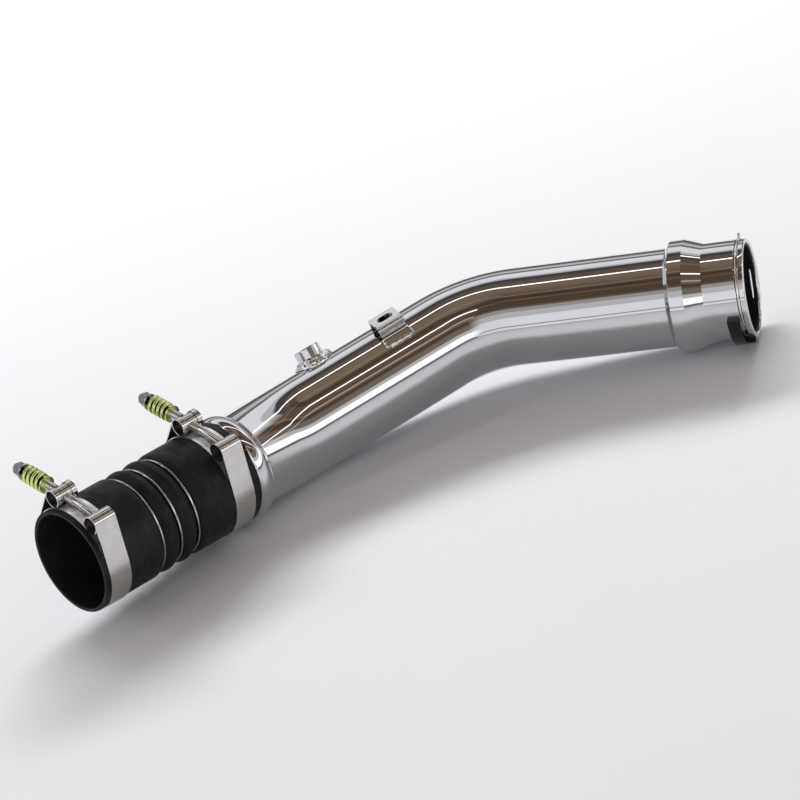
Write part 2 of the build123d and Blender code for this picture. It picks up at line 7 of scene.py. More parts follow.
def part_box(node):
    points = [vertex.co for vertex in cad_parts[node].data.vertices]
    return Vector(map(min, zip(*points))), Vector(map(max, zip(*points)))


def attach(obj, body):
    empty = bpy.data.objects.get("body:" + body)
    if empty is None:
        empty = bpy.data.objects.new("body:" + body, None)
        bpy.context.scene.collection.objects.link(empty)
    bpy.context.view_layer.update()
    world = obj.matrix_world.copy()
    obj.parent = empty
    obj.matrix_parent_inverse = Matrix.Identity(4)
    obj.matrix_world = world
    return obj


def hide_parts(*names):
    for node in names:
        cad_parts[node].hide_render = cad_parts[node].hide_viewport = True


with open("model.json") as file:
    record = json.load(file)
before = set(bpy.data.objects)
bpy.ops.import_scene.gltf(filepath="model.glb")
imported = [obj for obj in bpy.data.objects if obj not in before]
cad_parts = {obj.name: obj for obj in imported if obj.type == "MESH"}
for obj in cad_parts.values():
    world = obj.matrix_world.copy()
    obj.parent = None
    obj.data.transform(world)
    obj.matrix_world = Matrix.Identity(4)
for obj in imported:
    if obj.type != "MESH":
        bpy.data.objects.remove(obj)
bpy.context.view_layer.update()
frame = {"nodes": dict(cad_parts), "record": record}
nodes = frame["nodes"]
mounts = {m["name"]: m for m in frame["record"]["mounts"]}
mm = 0.001

# Where the pipe's legs lie, from the two mounts at its ends and their stations
lay = {
    "hoseMountStation": 191.75,
    "socketMountStation": 169.1,
    "bungStation": 45.5,
    "bracketStation": 105.6,
}


def mountPlace(name):
    return Vector(mounts[name]["pos_m"]), Vector(mounts[name]["axis"]).normalized()


hoseSpot, hoseDir = mountPlace("hose_free_end")
socketSpot, socketDir = mountPlace("quick_connect_socket")
bungSpot, bungDir = mountPlace("sensor_port")
corner1 = hoseSpot - hoseDir * lay["hoseMountStation"] * mm
corner2 = socketSpot - socketDir * lay["socketMountStation"] * mm
middleDir = (corner2 - corner1).normalized()
print("frame loaded")


def leanDir(direction, lean):
    upright = (Vector((0, 0, 1)) - direction * direction.z).normalized()
    side = direction.cross(upright)
    return upright * cos(radians(lean)) + side * sin(radians(lean))


# Helpers for the hand-modelling operators
def deselectAll():
    if bpy.context.object and bpy.context.object.mode != "OBJECT":
        bpy.ops.object.mode_set(mode="OBJECT")
    bpy.ops.object.select_all(action="DESELECT")


def pick(piece):
    deselectAll()
    piece.select_set(True)
    bpy.context.view_layer.objects.active = piece


def applyModifier(piece, kind, **settings):
    pick(piece)
    modifier = piece.modifiers.new(kind.lower(), kind)
    for key, value in settings.items():
        setattr(modifier, key, value)
    bpy.ops.object.modifier_apply(modifier=modifier.name)


def smoothByAngle(piece, angle=32):
    pick(piece)
    bpy.ops.object.shade_smooth_by_angle(angle=radians(angle))


def cleanUp(piece, distance=1e-6):
    pick(piece)
    bpy.ops.object.mode_set(mode="EDIT")
    bpy.ops.mesh.select_all(action="SELECT")
    bpy.ops.mesh.remove_doubles(threshold=distance)
    bpy.ops.mesh.normals_make_consistent(inside=False)
    bpy.ops.object.mode_set(mode="OBJECT")


def finishPiece(piece, name, material, slotName, *replaced):
    piece.name = name
    piece.data.name = name
    piece.data.materials.clear()
    piece.data.materials.append(material)
    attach(piece, "root")
    if replaced:
        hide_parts(*replaced)


def copyNode(nodeName):
    piece = nodes[nodeName].copy()  # the solid's own form, with its triangles merged
    piece.data = nodes[nodeName].data.copy()
    for key in list(piece.keys()):
        del piece[key]
    piece.parent = None
    bpy.context.scene.collection.objects.link(piece)
    pick(piece)
    bpy.ops.mesh.customdata_custom_splitnormals_clear()
    cleanUp(piece, 2e-6)
    smoothByAngle(piece)
    return piece


def startRing(centre, direction, radius, segments):
    deselectAll()
    turn = Vector((0, 0, 1)).rotation_difference(direction).to_euler()
    bpy.ops.mesh.primitive_circle_add(
        vertices=segments, radius=radius, fill_type="NOTHING", location=centre, rotation=turn
    )
    piece = bpy.context.object
    bpy.ops.object.transform_apply(location=True, rotation=True, scale=True)
    bpy.ops.object.mode_set(mode="EDIT")
    bpy.ops.mesh.select_all(action="SELECT")
    return piece


def nextRing(centre, step, scale):
    bpy.ops.mesh.extrude_region_move(TRANSFORM_OT_translate={"value": step})
    if not isclose(scale, 1):
        bpy.ops.transform.resize(value=(scale, scale, scale), center_override=centre + step)


def followProfile(corner, direction, profile):
    # one pushed and scaled ring for each further pair of station and radius
    for (station, radius), (nextStation, nextRadius) in zip(profile, profile[1:]):
        centre = corner + direction * station * mm
        nextRing(centre, direction * (nextStation - station) * mm, nextRadius / radius)


def turnedPiece(corner, direction, profile, segments):
    station, radius = profile[0]
    piece = startRing(corner + direction * station * mm, direction, radius * mm, segments)
    followProfile(corner, direction, profile)
    bpy.ops.object.mode_set(mode="OBJECT")
    closeLoops(piece)
    return piece


def easeCorners(points, ease, least=30, most=0.4):
    # each sharp corner of a closed outline becomes a small three-point round
    eased = []
    for before, corner, after in zip(points[-1:] + points[:-1], points, points[1:] + points[:1]):
        corner = Vector(corner)
        back, ahead = Vector(before) - corner, Vector(after) - corner
        if degrees(pi - back.angle(ahead)) < least:
            eased.append(tuple(corner))
            continue
        room = min(ease, back.length * most, ahead.length * most)
        first, last = corner + back.normalized() * room, corner + ahead.normalized() * room
        eased += [tuple(first), tuple((first + last + corner * 2) / 4), tuple(last)]
    return eased


def drillOut(piece, centre, direction, radius, depth, vertices=64):
    deselectAll()
    bpy.ops.mesh.primitive_cylinder_add(
        vertices=vertices, radius=radius, depth=depth, location=centre,
        rotation=Vector((0, 0, 1)).rotation_difference(direction).to_euler(),
    )
    drill = bpy.context.object
    bpy.ops.object.transform_apply(location=True, rotation=True, scale=True)
    applyModifier(piece, "BOOLEAN", operation="DIFFERENCE", object=drill, solver="EXACT")
    bpy.data.objects.remove(drill)


def closeLoops(piece):
    pick(piece)
    bpy.ops.object.mode_set(mode="EDIT")
    bpy.ops.mesh.select_all(action="DESELECT")
    bpy.ops.mesh.select_mode(type="EDGE")
    bpy.ops.mesh.select_non_manifold(extend=False, use_boundary=True)
    bpy.ops.mesh.bridge_edge_loops()
    bpy.ops.object.mode_set(mode="OBJECT")
    cleanUp(piece)


# Materials
def newMaterial(name, **inputs):
    material = bpy.data.materials.new(name)
    material.use_nodes = True
    shader = material.node_tree.nodes["Principled BSDF"]
    for key, value in inputs.items():
        shader.inputs[key.replace("_", " ")].default_value = value
    return material


def addNode(tree, kind, **settings):
    node = tree.nodes.new(kind)
    for key, value in settings.items():
        if key in node.inputs:
            node.inputs[key].default_value = value
        else:
            setattr(node, key, value)
    return node


grain = {
    "detail": 4,
    "noiseLow": 0.3,
    "noiseHigh": 0.7,
    "tintFrom": 0.35,
    "tintTo": 0.65,
}


def addGrain(material, scale, low, high, bump=0.0, depth=0.0):
    # roughness and a fine bump that change over the surface
    tree = material.node_tree
    shader = tree.nodes["Principled BSDF"]
    coords = addNode(tree, "ShaderNodeTexCoord")
    noise = addNode(tree, "ShaderNodeTexNoise", Scale=scale, Detail=grain["detail"])
    spread = addNode(tree, "ShaderNodeMapRange")
    spread.inputs["From Min"].default_value = grain["noiseLow"]
    spread.inputs["From Max"].default_value = grain["noiseHigh"]
    spread.inputs["To Min"].default_value = low
    spread.inputs["To Max"].default_value = high
    tree.links.new(coords.outputs["Object"], noise.inputs["Vector"])
    tree.links.new(noise.outputs["Fac"], spread.inputs["Value"])
    tree.links.new(spread.outputs["Result"], shader.inputs["Roughness"])
    if bump:
        bumpNode = addNode(tree, "ShaderNodeBump", Strength=bump, Distance=depth)
        tree.links.new(noise.outputs["Fac"], bumpNode.inputs["Height"])
        tree.links.new(bumpNode.outputs["Normal"], shader.inputs["Normal"])
    return noise


def addTint(material, noise, first, second):
    # two close colours that drift into each other
    tree = material.node_tree
    ramp = addNode(tree, "ShaderNodeValToRGB")
    places = (grain["tintFrom"], grain["tintTo"])
    for element, place, colour in zip(ramp.color_ramp.elements, places, (first, second)):
        element.position = place
        element.color = (*colour, 1)
    tree.links.new(noise.outputs["Fac"], ramp.inputs["Fac"])
    tree.links.new(ramp.outputs["Color"], tree.nodes["Principled BSDF"].inputs["Base Color"])


def metal(name, first, second, low, high, scale):
    material = newMaterial(name, Metallic=1.0)
    noise = addGrain(material, scale, low, high)
    addTint(material, noise, first, second)
    return material


def rubber(name, first, second, low, high, scale, bump, depth):
    material = newMaterial(name, Metallic=0.0, Specular_IOR_Level=0.4)
    noise = addGrain(material, scale, low, high, bump, depth)
    addTint(material, noise, first, second)
    return material


wrap = {
    "stretch": 0.12,
    "markScale": 900,
    "markDetail": 3,
    "mottleScale": 70,
    "mottleDetail": 5,
    "tones": [(0.370, 0.004), (0.625, 0.014)],
    "blue": 1.03,
    "dullFrom": 0.75,
    "shinyFrom": 1.25,
    "dull": 0.62,
    "shiny": 0.40,
    "bumpStrength": 0.35,
    "bumpDepth": 0.0004,
}


def wrapMarks(material, direction):
    # fine marks round the hose, left by its cloth wrap, over a slow mottling
    tree = material.node_tree
    shader = tree.nodes["Principled BSDF"]
    coords = addNode(tree, "ShaderNodeTexCoord")
    turn = direction.rotation_difference(Vector((0, 0, 1))).to_euler()
    turned = addNode(tree, "ShaderNodeMapping", Rotation=turn)
    stretched = addNode(tree, "ShaderNodeMapping", Scale=(wrap["stretch"], wrap["stretch"], 1.0))
    marks = addNode(tree, "ShaderNodeTexNoise", Scale=wrap["markScale"], Detail=wrap["markDetail"])
    mottle = addNode(tree, "ShaderNodeTexNoise", Scale=wrap["mottleScale"], Detail=wrap["mottleDetail"])
    both = addNode(tree, "ShaderNodeMath", operation="ADD")
    tone = addNode(tree, "ShaderNodeValToRGB")
    shine = addNode(tree, "ShaderNodeMapRange")
    bump = addNode(tree, "ShaderNodeBump", Strength=wrap["bumpStrength"], Distance=wrap["bumpDepth"])
    for element, (position, value) in zip(tone.color_ramp.elements, wrap["tones"]):
        element.position = position
        element.color = (value, value, value * wrap["blue"], 1)
    shineRange = {"From Min": "dullFrom", "From Max": "shinyFrom", "To Min": "dull", "To Max": "shiny"}
    for socket, key in shineRange.items():
        shine.inputs[socket].default_value = wrap[key]
    half = addNode(tree, "ShaderNodeMath", operation="MULTIPLY")
    half.inputs[1].default_value = 0.5
    tree.links.new(coords.outputs["Object"], turned.inputs["Vector"])
    tree.links.new(turned.outputs["Vector"], stretched.inputs["Vector"])
    tree.links.new(stretched.outputs["Vector"], marks.inputs["Vector"])
    tree.links.new(coords.outputs["Object"], mottle.inputs["Vector"])
    tree.links.new(marks.outputs["Fac"], both.inputs[0])
    tree.links.new(mottle.outputs["Fac"], both.inputs[1])
    tree.links.new(both.outputs[0], half.inputs[0])
    tree.links.new(half.outputs[0], tone.inputs["Fac"])
    tree.links.new(tone.outputs["Color"], shader.inputs["Base Color"])
    tree.links.new(both.outputs[0], shine.inputs["Value"])
    tree.links.new(shine.outputs["Result"], shader.inputs["Roughness"])
    tree.links.new(marks.outputs["Fac"], bump.inputs["Height"])
    tree.links.new(bump.outputs["Normal"], shader.inputs["Normal"])


# Each finish: two close colours, the least and most roughness and the grain's scale
polishedTube = metal("polishedTube", (0.600, 0.602, 0.625), (0.635, 0.636, 0.655), 0.015, 0.035, 14)
polishedCollar = metal("polishedCollar", (0.600, 0.602, 0.620), (0.635, 0.636, 0.650), 0.02, 0.045, 30)
hoseRubber = newMaterial("hoseRubber", Metallic=0.0, Specular_IOR_Level=0.22)
wrapMarks(hoseRubber, hoseDir)
ringWire = metal("ringWire", (0.42, 0.40, 0.39), (0.55, 0.54, 0.55), 0.06, 0.14, 200)
clampStrap = metal("clampStrap", (0.60, 0.585, 0.565), (0.64, 0.63, 0.62), 0.05, 0.10, 160)
# partly painted reflection: the liner's base is lifted to a bluish near-white to stand in for the bright
# room it reflects, on top of its real reflections
clampBridge = metal("clampBridge", (0.86, 0.86, 0.91), (0.92, 0.92, 0.97), 0.26, 0.34, 160)
clampSteel = metal("clampSteel", (0.50, 0.48, 0.46), (0.58, 0.57, 0.56), 0.08, 0.16, 240)
sleeveSteel = metal("sleeveSteel", (0.52, 0.51, 0.49), (0.60, 0.59, 0.58), 0.18, 0.28, 240)
springSteel = metal("springSteel", (0.66, 0.73, 0.26), (0.78, 0.86, 0.40), 0.20, 0.32, 120)
nutSteel = metal("nutSteel", (0.26, 0.255, 0.26), (0.34, 0.335, 0.34), 0.34, 0.46, 240)
# near-black finish used only as painted shade: barrel ends and the screw and sleeve inside each spring
paintedShadeBlack = metal("paintedShadeBlack", (0.012, 0.012, 0.013), (0.022, 0.021, 0.022), 0.35, 0.50, 240)
bossSteel = metal("bossSteel", (0.60, 0.60, 0.62), (0.64, 0.64, 0.66), 0.03, 0.07, 60)
weldMetal = metal("weldMetal", (0.64, 0.63, 0.62), (0.78, 0.78, 0.79), 0.05, 0.12, 300)
bracketSteel = metal("bracketSteel", (0.56, 0.55, 0.54), (0.61, 0.605, 0.60), 0.03, 0.06, 60)
sealRubber = rubber("sealRubber", (0.006, 0.006, 0.006), (0.011, 0.011, 0.012), 0.3, 0.45, 500, 0.1, 0.0002)
clipWire = metal("clipWire", (0.66, 0.66, 0.67), (0.74, 0.74, 0.75), 0.04, 0.08, 120)
retainerPlastic = rubber(
    "retainerPlastic", (0.004, 0.004, 0.004), (0.008, 0.008, 0.009), 0.12, 0.20, 400, 0.1, 0.0002
)
print("materials made")


# Tube: one ring pushed along the first leg, spun round each bend and pushed to the collar
tube = {
    "radius": 38.1,
    "wall": 1.65,
    "bendRadius": 100.0,
    "segments": 144,
    "hoseEnd": 110.0,
    "socketEnd": 161.8,
    "beadCentre": 58.95,
    "beadHalf": 7.0,
    "beadHeight": 4.5,
    "beadRings": 20,
    "bendSteps": 36,
    "holeRadius": 7.0,
    "holeMargin": 20.0,
    "drillDepth": 30.0,
    "toeLength": 2.6,
    "toeHeight": 0.7,
    "toeRings": 10,
    "smoothAngle": 40,
}


def pushRing(centre, direction, distance):
    nextRing(centre, direction * distance, 1.0)
    return centre + direction * distance


def spinRing(centre, heading, leaving, steps):
    bend = heading.angle(leaving)
    inward = (leaving - heading * cos(bend)).normalized()
    axis = heading.cross(inward)
    pivot = centre + inward * tube["bendRadius"] * mm
    bpy.ops.mesh.spin(steps=steps, angle=-bend, center=pivot, axis=axis)
    return pivot - (Matrix.Rotation(bend, 3, axis) @ inward) * tube["bendRadius"] * mm


def beadProfile():
    profile = [(tube["hoseEnd"], tube["radius"])]
    for ring in range(tube["beadRings"] + 1):
        angle = pi * ring / tube["beadRings"]
        station = tube["beadCentre"] + tube["beadHalf"] * cos(angle)
        profile.append((station, tube["radius"] + tube["beadHeight"] * sin(angle)))
    for ring in range(1, tube["toeRings"] + 1):  # small rolled toe on the bead's tube side
        share = ring / tube["toeRings"]
        station = tube["beadCentre"] - tube["beadHalf"] - tube["toeLength"] * share
        profile.append((station, tube["radius"] + tube["toeHeight"] * sin(pi * share) ** 2))
    return profile


def buildTube():
    centre = corner1 + hoseDir * tube["hoseEnd"] * mm
    piece = startRing(centre, hoseDir, tube["radius"] * mm, tube["segments"])
    profile = beadProfile()
    followProfile(corner1, hoseDir, profile)
    station = profile[-1][0]
    centre = corner1 + hoseDir * station * mm
    bend1 = (-hoseDir).angle(middleDir)
    bend2 = middleDir.angle(socketDir)
    setBack1 = tube["bendRadius"] * tan(bend1 / 2) * mm
    setBack2 = tube["bendRadius"] * tan(bend2 / 2) * mm
    centre = pushRing(centre, -hoseDir, station * mm - setBack1)
    centre = spinRing(centre, -hoseDir, middleDir, tube["bendSteps"])
    stops = [lay["bungStation"] - tube["holeMargin"], lay["bungStation"] + tube["holeMargin"]]
    for stop in [s * mm for s in stops] + [(corner2 - corner1).length - setBack2]:
        centre = pushRing(centre, middleDir, stop - (centre - corner1).dot(middleDir))
    centre = spinRing(centre, middleDir, socketDir, tube["bendSteps"])
    pushRing(centre, socketDir, tube["socketEnd"] * mm - setBack2)
    bpy.ops.object.mode_set(mode="OBJECT")
    cleanUp(piece)
    applyModifier(piece, "SOLIDIFY", thickness=tube["wall"] * mm, offset=-1)
    drillOut(piece, bungSpot, bungDir, tube["holeRadius"] * mm, tube["drillDepth"] * mm)
    smoothByAngle(piece, tube["smoothAngle"])
    finishPiece(piece, "bentTube", polishedTube, "polished_tube", "pipe_tube")


buildTube()
print("tube made")

# Hose: rings along its outer wave and back along the inner one
hose = {
    "start": 66.0,
    "length": 152.4,
    "bore": 38.2,
    "wall": 3.2,
    "valleyDepth": 4.2,
    "pitch": 17.0,
    "valleys": 3,
    "firstValley": 60.0,
    "shoulder": 5.5,
    "edgeRound": 0.9,
    "arcRings": 9,
    "segments": 144,
    "smoothAngle": 60,
}


def waveChain(offset):
    # points of one wall line: stations from the hose's start, heights from the wall's middle
    half = hose["pitch"] / 2
    waveTurn = 2 * atan2(hose["valleyDepth"], half)
    waveR = half / (2 * sin(waveTurn))
    shoulderTurn = 2 * atan2(hose["valleyDepth"], hose["shoulder"])
    shoulderR = hose["shoulder"] / (2 * sin(shoulderTurn))
    turns = [(-shoulderTurn, shoulderR + offset), (shoulderTurn, shoulderR - offset)]
    for hump in range(hose["valleys"] - 1):
        rise, crest = (waveTurn, waveR - offset), (-2 * waveTurn, waveR + offset)
        turns += [rise, crest, rise]
    turns += [(shoulderTurn, shoulderR - offset), (-shoulderTurn, shoulderR + offset)]
    x, y, heading = hose["firstValley"] - hose["shoulder"], offset, 0.0
    points = [(x, y)]
    for turn, radius in turns:
        way = 1 if turn > 0 else -1
        cx, cy = x - way * radius * sin(heading), y + way * radius * cos(heading)
        for step in range(1, hose["arcRings"] + 1):
            now = heading + turn * step / hose["arcRings"]
            points.append((cx + way * radius * sin(now), cy - way * radius * cos(now)))
        x, y = points[-1]
        heading += turn
    return points


def roundedEdge(station, radius, stationWay, radiusWay, r, steps=4):
    # quarter round from the end face to the wall line
    points = []
    for step in range(steps + 1):
        a = pi / 2 * step / steps
        points.append((station + stationWay * r * (1 - sin(a)), radius - radiusWay * r * (1 - cos(a))))
    return points


def hoseProfile():
    middle = hose["bore"] + hose["wall"] / 2
    end = hose["length"]
    r = hose["edgeRound"]
    outer = [(s, middle + h) for s, h in waveChain(hose["wall"] / 2)]
    inner = [(s, middle + h) for s, h in waveChain(-hose["wall"] / 2)]
    outR, inR = middle + hose["wall"] / 2, middle - hose["wall"] / 2
    startOut = [(s, q) for s, q in reversed(roundedEdge(0, outR, 1, 1, r))]
    endOut = [(end - s, q) for s, q in roundedEdge(0, outR, 1, 1, r)]
    startIn = [(s, q) for s, q in reversed(roundedEdge(0, inR, 1, -1, r))]
    endIn = [(end - s, q) for s, q in roundedEdge(0, inR, 1, -1, r)]
    line = sorted(startOut) + outer + sorted(endOut)
    line += sorted(endIn, reverse=True) + list(reversed(inner)) + sorted(startIn, reverse=True)
    return [(hose["start"] + s, q) for s, q in line]


def buildHose():
    piece = turnedPiece(corner1, hoseDir, hoseProfile(), hose["segments"])
    smoothByAngle(piece, hose["smoothAngle"])
    finishPiece(piece, "humpHose", hoseRubber, "hose_rubber", "hose")


buildHose()
print("hose made")

# Collar: turned ring with crisp edges, its seal pocket and groove, and the channel of the clip's leg
collar = {
    "start": 155.8,
    "chamfer": 4.0,
    "flat": 11.0,
    "cone": 14.1,
    "end": 217.4,
    "tubeFit": 38.15,
    "tubeStop": 161.85,
    "rimRadius": 43.3,
    "neckRadius": 38.3,
    "bore": 34.5,
    "stopLand": 36.45,
    "mouthChamfer": 0.8,
    "pocketStart": 163.6,
    "pocketEnd": 174.6,
    "pocketRadius": 39.4,
    "grooveCentre": 211.7,
    "grooveHalf": 1.3,
    "grooveBottom": 35.9,
    "edgeEase": 0.4,
    "smoothAngle": 12,
    "segments": 192,
    "legLean": -112.0,
    "legRadius": 32.93,
    "legLength": 35.0,
    "legSegments": 32,
}


def collarProfile():
    c = collar
    rimStart = c["start"] + c["chamfer"]
    coneStart = rimStart + c["flat"]
    grooveStart, grooveEnd = c["grooveCentre"] - c["grooveHalf"], c["grooveCentre"] + c["grooveHalf"]
    lip = c["end"] - c["mouthChamfer"]
    points = [
        (c["start"], c["tubeFit"]), (rimStart, c["rimRadius"]), (coneStart, c["rimRadius"]),
        (coneStart + c["cone"], c["neckRadius"]), (grooveStart, c["neckRadius"]),
        (grooveStart, c["grooveBottom"]), (grooveEnd, c["grooveBottom"]), (grooveEnd, c["neckRadius"]),
        (lip, c["neckRadius"]), (c["end"], c["neckRadius"] - c["mouthChamfer"]),
        (c["end"], c["bore"] + c["mouthChamfer"]), (lip, c["bore"]),
        (c["pocketEnd"], c["bore"]), (c["pocketEnd"], c["pocketRadius"]),
        (c["pocketStart"], c["pocketRadius"]), (c["pocketStart"], c["stopLand"]),
        (c["tubeStop"], c["stopLand"]), (c["tubeStop"], c["tubeFit"]),
    ]
    return easeCorners(points, c["edgeEase"])


def buildCollar():
    piece = turnedPiece(corner2, socketDir, collarProfile(), collar["segments"])
    legOut = leanDir(socketDir, collar["legLean"])
    legSpot = corner2 + (socketDir * collar["grooveCentre"] + legOut * collar["legRadius"]) * mm
    legWay = socketDir.cross(legOut)
    drillOut(
        piece, legSpot, legWay, collar["grooveHalf"] * mm, collar["legLength"] * mm, collar["legSegments"]
    )
    smoothByAngle(piece, collar["smoothAngle"])
    finishPiece(piece, "socketCollar", polishedCollar, "polished_collar", "socket_collar")


buildCollar()
print("collar made")

# Weld beads: merged copies of the plain beads, remeshed and raised in lumps
weld = {
    "voxel": 0.35,
    "lumpSize": 4.0,
    "lumpHeight": 1.8,
    "lumpMiddle": 0.55,
    "smoothFactor": 0.5,
    "smoothing": 8,
    "smoothAngle": 80,
    "sideSegments": 20,
    "sideRadius": 1.7,
    "sideFrom": 17.0,
    "sideTo": 26.0,
    "sideSteps": 6,
    "footHalf": 11.3,
    "footLean": 8.5,
    "seat": 38.4,
}


def makeLumpy(piece, seed):
    applyModifier(piece, "REMESH", mode="VOXEL", voxel_size=weld["voxel"] * mm)
    lumps = bpy.data.textures.new(f"weldLumps{seed}", "CLOUDS")
    lumps.noise_scale = weld["lumpSize"] * mm
    lumps.noise_depth = 1
    applyModifier(
        piece, "DISPLACE", texture=lumps, texture_coords="LOCAL",
        strength=weld["lumpHeight"] * mm, mid_level=weld["lumpMiddle"],
    )
    applyModifier(piece, "SMOOTH", factor=weld["smoothFactor"], iterations=weld["smoothing"])
    smoothByAngle(piece, weld["smoothAngle"])


def sideBead(station):
    # short bead across one end of the bracket's foot
    out = leanDir(middleDir, weld["footLean"])
    side = middleDir.cross(out)

    def spot(lean):
        way = out * cos(radians(lean)) + side * sin(radians(lean))
        return corner1 + (middleDir * station + way * weld["seat"]) * mm

    leans = [
        weld["sideFrom"] + (weld["sideTo"] - weld["sideFrom"]) * step / weld["sideSteps"]
        for step in range(weld["sideSteps"] + 1)
    ]
    spots = [spot(lean) for lean in leans]
    across = (spots[-1] - spots[0]).normalized()
    piece = startRing(spots[0], across, weld["sideRadius"] * mm, weld["sideSegments"])
    for here, there in zip(spots, spots[1:]):
        nextRing(here, there - here, 1.0)
    bpy.ops.mesh.select_all(action="SELECT")
    bpy.ops.mesh.fill_holes(sides=0)
    bpy.ops.object.mode_set(mode="OBJECT")
    cleanUp(piece)
    return piece


def buildWelds():
    bungBead = copyNode("bung_weld")
    makeLumpy(bungBead, 1)
    finishPiece(bungBead, "bungWeld", weldMetal, "weld_metal", "bung_weld")
    footBeads = copyNode("bracket_welds")
    for way in (1, -1):
        bead = sideBead(lay["bracketStation"] + way * weld["footHalf"])
        pick(footBeads)
        bead.select_set(True)
        bpy.ops.object.join()
    makeLumpy(footBeads, 2)
    finishPiece(footBeads, "bracketWelds", weldMetal, "weld_metal", "bracket_welds")


buildWelds()
print("welds made")

# Threads that show on each clamp's screw, between the trunnion and the head's loop
thread = {
    "from": -4.6,
    "to": -15.0,
    "pitch": 1.0,
    "root": 2.96,
    "crest": 3.24,
    "inside": 2.2,
    "segments": 40,
    "smoothAngle": 20,
}


def boxMiddle(nodeName):
    low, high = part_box(nodeName)
    return (Vector(low) + Vector(high)) / 2


def screwLine(clampNumber):
    # the screw's axis, from the trunnion's middle towards the washer
    centre = boxMiddle(f"clamp_{clampNumber}_trunnion")
    return centre, (boxMiddle(f"clamp_{clampNumber}_washer") - centre).normalized()


def buildThread(clampNumber):
    centre, along = screwLine(clampNumber)
    turns = int((thread["from"] - thread["to"]) / thread["pitch"])
    profile = [(thread["from"], thread["inside"])]
    for turn in range(turns):
        place = thread["from"] - thread["pitch"] * turn
        profile += [(place, thread["root"]), (place - thread["pitch"] / 2, thread["crest"])]
    last = thread["from"] - thread["pitch"] * turns
    profile += [(last, thread["root"]), (last, thread["inside"])]
    piece = turnedPiece(centre, along, profile, thread["segments"])
    smoothByAngle(piece, thread["smoothAngle"])
    finishPiece(piece, f"clamp{clampNumber}Thread", clampSteel, "clamp_steel")


for clampNumber in (1, 2):
    buildThread(clampNumber)
print("threads made")

# Solids whose form is right get merged copies with smooth faces and their own finish
finishes = {
    "wire_ring_1": (ringWire, "ring_wire"),
    "wire_ring_2": (ringWire, "ring_wire"),
    "wire_ring_3": (ringWire, "ring_wire"),
    "sensor_bung": (bossSteel, "boss_steel"),
    "bracket": (bracketSteel, "bracket_steel"),
    "bore_seal": (sealRubber, "seal_rubber"),
    "wire_clip": (clipWire, "clip_wire"),
    "clip_retainer": (retainerPlastic, "retainer_plastic"),
}
for clampNumber in (1, 2):
    for part, finish in {
        "band": (clampStrap, "clamp_strap"),
        "liner": (clampBridge, "clamp_bridge"),
        "t_bolt": (clampSteel, "clamp_steel"),
        "trunnion": (clampSteel, "clamp_steel"),
        "sleeve": (sleeveSteel, "sleeve_steel"),
        "spring": (springSteel, "spring_steel"),
        "washer": (sleeveSteel, "nut_steel"),
        "lock_nut": (nutSteel, "nut_steel"),
    }.items():
        finishes[f"clamp_{clampNumber}_{part}"] = finish
for nodeName, (material, slotName) in finishes.items():
    words = nodeName.split("_")
    pieceName = words[0] + "".join(word.capitalize() for word in words[1:])
    finishPiece(copyNode(nodeName), pieceName, material, slotName, nodeName)
print("small pieces finished")

# Second finishes: painted shade, near-black, on the barrel ends and on the screw and sleeve inside each
# spring, and a plated seat at each spring's foot
screw = {
    "barrelEnd": 6.0,
    "flangeFrom": 17.0,
    "springFrom": 18.5,
    "springTo": 42.2,
    "guideRadius": 4.3,
}


def cutAcross(piece, centre, normal):
    pick(piece)
    bpy.ops.object.mode_set(mode="EDIT")
    bpy.ops.mesh.select_all(action="SELECT")
    bpy.ops.mesh.bisect(plane_co=centre, plane_no=normal)
    bpy.ops.object.mode_set(mode="OBJECT")


def paintFaces(piece, material, wanted):
    piece.data.materials.append(material)
    for face in piece.data.polygons:
        if wanted(face.center):
            face.material_index = len(piece.data.materials) - 1


def finishScrew(clampNumber):
    centre, along = screwLine(clampNumber)
    parts = ("TBolt", "Trunnion", "Sleeve")
    bolt, barrel, sleeve = (bpy.data.objects[f"clamp{clampNumber}{part}"] for part in parts)
    for station in (screw["springFrom"], screw["springTo"]):
        cutAcross(bolt, centre + along * station * mm, along)

    def inSpring(spot):
        return screw["springFrom"] < (spot - centre).dot(along) / mm < screw["springTo"]

    def atEnd(spot):
        return abs((spot - centre).dot(hoseDir)) / mm > screw["barrelEnd"]

    def onFlange(spot):
        station = (spot - centre).dot(along)
        out = (spot - centre - along * station).length
        return station / mm > screw["flangeFrom"] and out / mm > screw["guideRadius"]

    # painted shade: the screw and sleeve inside the spring and the barrel ends turn near-black
    paintFaces(bolt, paintedShadeBlack, lambda spot: inSpring(spot) or atEnd(spot))
    paintFaces(barrel, paintedShadeBlack, atEnd)
    paintFaces(sleeve, paintedShadeBlack, inSpring)
    paintFaces(sleeve, springSteel, onFlange)


for clampNumber in (1, 2):
    finishScrew(clampNumber)
print("screws finished")

# Room round the pipe: pale floor, tall windows at the horizon, brown ceiling with light strips
room = {
    "floor": (0.70, 0.70, 0.71),
    "brown": (0.175, 0.116, 0.080),
    "darkBrown": (0.105, 0.072, 0.050),
    "lightBrown": (0.250, 0.190, 0.130),
    "darkGrey": (0.080, 0.078, 0.080),
    "grey": (0.215, 0.195, 0.180),
    "steelGrey": (0.42, 0.41, 0.40),
    "silver": (0.68, 0.67, 0.67),
    "bright": (1.04, 1.04, 1.07),
    "white": (1.65, 1.65, 1.65),
    "edge": 1.0,
    "leftFrom": -0.02,
    "leftBlend": 5.0,
    "rearBlend": 6.0,
    "ceilingFrom": 0.3,
    "leastRise": 0.05,
}
